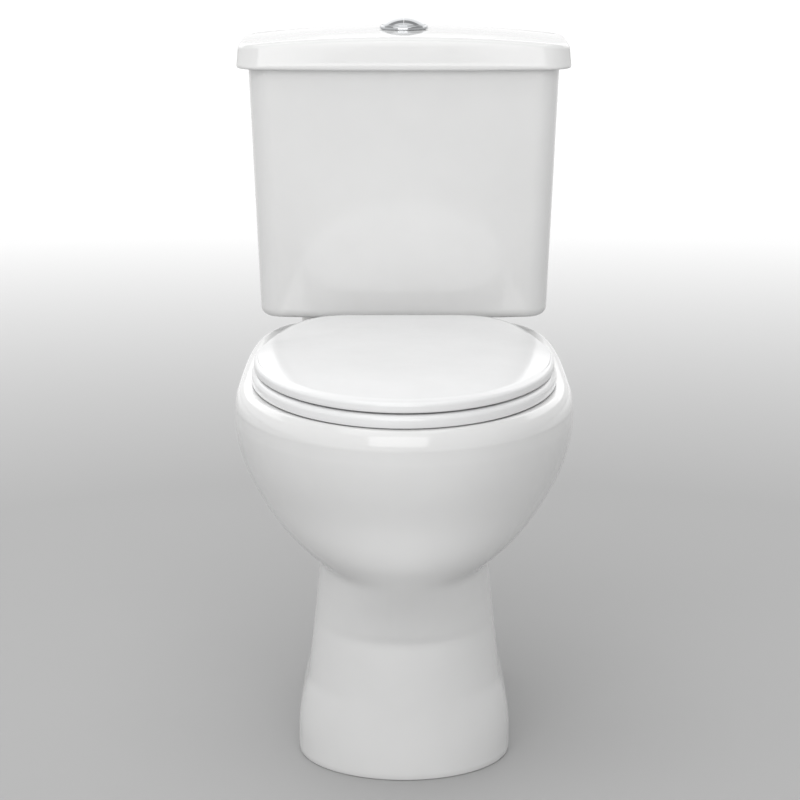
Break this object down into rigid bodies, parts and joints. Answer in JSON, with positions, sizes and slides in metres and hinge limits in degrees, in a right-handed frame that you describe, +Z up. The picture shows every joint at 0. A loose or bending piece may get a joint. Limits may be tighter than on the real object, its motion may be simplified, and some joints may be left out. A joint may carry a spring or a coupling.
{
  "type": "close coupled toilet",
  "caption": "Close coupled toilet: pedestal pan with a hinged seat and cover, a cistern on the rear deck, a lift-off lid and a dual flush push button.",
  "frame": {"origin": "on the floor, under the middle of the whole toilet", "axes": "front faces -Y, +X is to the right seen from the front, +Z up"},
  "size_m": [0.392, 0.6596, 0.769],
  "materials": {
    "china": "glossy",
    "seat_plastic": "glossy",
    "soft_pad": "matte",
    "hinge_metal": "polished",
    "steel": "satin",
    "black_rubber": "matte",
    "seal_rubber": "matte",
    "nut_plastic": "matte",
    "wing_nut_metal": "satin",
    "button_chrome": "polished",
    "rod_plastic": "matte",
    "valve_white": "satin",
    "valve_grey": "matte",
    "valve_blue": "matte",
    "float_white": "satin"
  },
  "bodies": {
    "base": {"pan_rim": "china", "pan_bowl": "china", "pan_sump": "china", "pan_foot": "china", "pan_trap": "china", "cistern": "china", "hinge_posts": "hinge_metal", "hinge_pins": "steel", "hinge_bolts": "steel", "hinge_washers": "black_rubber", "hinge_nuts": "nut_plastic", "valve_base": "valve_white", "valve_tower": "valve_white", "valve_seal_washer": "black_rubber", "valve_nut": "nut_plastic", "doughnut_seal": "black_rubber", "coupling_bolts": "steel", "coupling_rubbers": "black_rubber", "coupling_washers": "steel", "coupling_wing_nuts": "wing_nut_metal", "fill_valve_body": "valve_white", "fill_valve_head": "valve_grey", "lever_pin": "steel", "fill_valve_washer": "black_rubber", "fill_valve_nut": "nut_plastic"},
    "seat": {"seat_ring": "seat_plastic", "seat_bumpers": "soft_pad"},
    "cover": {"seat_cover": "seat_plastic", "cover_bumpers": "soft_pad"},
    "lid": {"cistern_lid": "china", "button_bezel": "button_chrome", "button_nut": "nut_plastic", "button_spring_full": "steel", "button_spring_half": "steel"},
    "full_button": {"button_full": "button_chrome", "push_rod_full": "rod_plastic"},
    "half_button": {"button_half": "button_chrome", "push_rod_half": "rod_plastic"},
    "flush": {"overflow_tube": "valve_grey", "flush_seal": "seal_rubber"},
    "full_plunger": {"plunger_full": "rod_plastic"},
    "half_plunger": {"plunger_half": "rod_plastic"},
    "float": {"fill_float": "float_white", "float_link": "valve_blue"},
    "lever": {"fill_valve_lever": "valve_blue"}
  },
  "joints": [
    {"name": "seat_hinge", "type": "hinge", "parent": "base", "child": "seat", "pos_m": [0, 0.102, 0.424], "axis": [-1, 0, 0], "range_deg": [0, 93]},
    {"name": "cover_hinge", "type": "hinge", "parent": "seat", "child": "cover", "pos_m": [0, 0.102, 0.424], "axis": [1, 0, 0], "range_deg": [-93, 0]},
    {"name": "lid_lift", "type": "slide", "parent": "base", "child": "lid", "axis": [0, 0, 1], "range_m": [0, 0.12]},
    {"name": "full_press", "type": "slide", "parent": "lid", "child": "full_button", "axis": [0, 0, -1], "range_m": [0, 0.006], "stiffness_N_per_m": 400, "springref_m": -0.012, "deforming": ["button_spring_full"]},
    {"name": "half_press", "type": "slide", "parent": "lid", "child": "half_button", "axis": [0, 0, -1], "range_m": [0, 0.006], "stiffness_N_per_m": 400, "springref_m": -0.012, "deforming": ["button_spring_half"]},
    {"name": "flush_lift", "type": "slide", "parent": "base", "child": "flush", "axis": [0, 0, 1], "range_m": [0, 0.02]},
    {"name": "full_plunger_drop", "type": "slide", "parent": "base", "child": "full_plunger", "axis": [0, 0, -1], "range_m": [0, 0.006]},
    {"name": "half_plunger_drop", "type": "slide", "parent": "base", "child": "half_plunger", "axis": [0, 0, -1], "range_m": [0, 0.006]},
    {"name": "float_rise", "type": "slide", "parent": "base", "child": "float", "axis": [0, 0, 1], "range_m": [0, 0.02]},
    {"name": "lever_tilt", "type": "hinge", "parent": "base", "child": "lever", "pos_m": [-0.115, 0.274, 0.662], "axis": [-1, 0, 0], "range_deg": [0, 22.1]}
  ],
  "couplings": [
    {"joint": "flush_lift", "follows": "full_press", "ratio": 3.3333},
    {"joint": "full_plunger_drop", "follows": "full_press", "ratio": 1},
    {"joint": "half_plunger_drop", "follows": "half_press", "ratio": 1},
    {"joint": "lever_tilt", "follows": "float_rise", "rad_per_m": 19.23}
  ]
}
